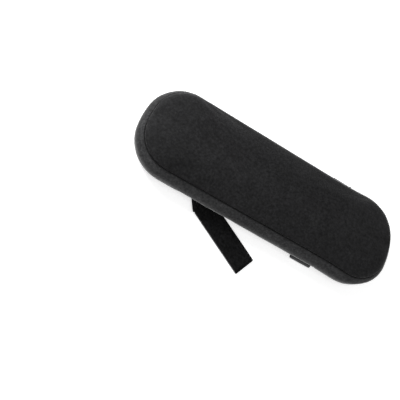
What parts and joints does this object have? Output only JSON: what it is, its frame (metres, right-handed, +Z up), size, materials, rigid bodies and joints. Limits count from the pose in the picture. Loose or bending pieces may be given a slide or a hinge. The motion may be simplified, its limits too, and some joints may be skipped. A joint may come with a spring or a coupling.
{
  "type": "chair armrest pad",
  "caption": "Long padded armrest cushion with rounded ends, a zipped fabric cover, a dotted non-slip underside and webbing straps with slide buckles.",
  "frame": {"origin": "middle of the flat underside", "axes": "+X along the pad, +Y towards the side with the zip and the buckles, +Z up out of the crown"},
  "size_m": [0.2498, 0.1238, 0.033],
  "materials": {
    "velour": "short-pile black velour",
    "grip_knit": "dark grey knit with small raised light grey grip dots",
    "foam": "slow-recovery polyurethane foam, pale cream",
    "thread": "black sewing thread in a turned seam",
    "webbing": "woven webbing, smooth outside and brushed loop pile inside",
    "hook_tape": "hook tape",
    "buckle_plastic": "moulded acetal, satin black",
    "zip_tape": "woven zip tape",
    "zip_coil": "nylon coil",
    "zip_metal": "black lacquered zinc"
  },
  "bodies": {
    "pad": {"foam_core": "foam", "top_panel": "velour", "side_gusset": "velour", "base_panel": "grip_knit", "top_seam": "thread", "base_seam": "thread", "zip_tape_upper": "zip_tape", "zip_tape_lower": "zip_tape", "zip_coil": "zip_coil", "zip_stops": "zip_coil"},
    "zip_slider": {"zip_slider": "zip_metal"},
    "zip_pull": {"zip_pull": "zip_metal"},
    "left_loop": {"left_buckle_loop": "webbing"},
    "left_buckle": {"left_buckle": "buckle_plastic", "left_strap_root": "webbing"},
    "left_middle": {"left_strap_middle": "webbing"},
    "left_end": {"left_strap_end": "webbing", "left_hook_patch": "hook_tape"},
    "right_loop": {"right_buckle_loop": "webbing"},
    "right_buckle": {"right_buckle": "buckle_plastic", "right_strap_root": "webbing"},
    "right_middle": {"right_strap_middle": "webbing"},
    "right_end": {"right_strap_end": "webbing", "right_hook_patch": "hook_tape"}
  },
  "joints": [
    {"name": "zip_slide", "type": "slide", "parent": "pad", "child": "zip_slider", "axis": [-1, 0, 0], "range_m": [0, 0.147]},
    {"name": "zip_pull_hinge", "type": "hinge", "parent": "zip_slider", "child": "zip_pull", "pos_m": [0.0735, 0.0453, 0.012], "axis": [0, 0, -1], "range_deg": [0, 165]},
    {"name": "left_loop_hinge", "type": "hinge", "parent": "pad", "child": "left_loop", "pos_m": [-0.06, 0.0344, 0.0049], "axis": [1, 0, 0], "range_deg": [0, 75]},
    {"name": "left_buckle_hinge", "type": "hinge", "parent": "left_loop", "child": "left_buckle", "pos_m": [-0.06, 0.028, 0.0049], "axis": [1, 0, 0], "range_deg": [0, 60]},
    {"name": "left_strap_fold", "type": "hinge", "parent": "left_buckle", "child": "left_middle", "pos_m": [-0.06, -0.0306, 0.00347], "axis": [-0.506, 0.8625, 0], "range_deg": [0, 100]},
    {"name": "left_strap_end_fold", "type": "hinge", "parent": "left_middle", "child": "left_end", "pos_m": [0.00809, -0.06865, 0.00135], "axis": [-0.4879, -0.8729, 0], "range_deg": [0, 175]},
    {"name": "right_loop_hinge", "type": "hinge", "parent": "pad", "child": "right_loop", "pos_m": [0.054, 0.0344, 0.0049], "axis": [1, 0, 0], "range_deg": [0, 75]},
    {"name": "right_buckle_hinge", "type": "hinge", "parent": "right_loop", "child": "right_buckle", "pos_m": [0.054, 0.028, 0.0049], "axis": [1, 0, 0], "range_deg": [0, 60]},
    {"name": "right_strap_fold", "type": "hinge", "parent": "right_buckle", "child": "right_middle", "pos_m": [0.054, -0.0405, 0.00347], "axis": [-1, 0, 0], "range_deg": [0, 175]},
    {"name": "right_strap_end_fold", "type": "hinge", "parent": "right_middle", "child": "right_end", "pos_m": [0.054, 0.0265, 0.00135], "axis": [1, 0, 0], "range_deg": [0, 100]}
  ]
}
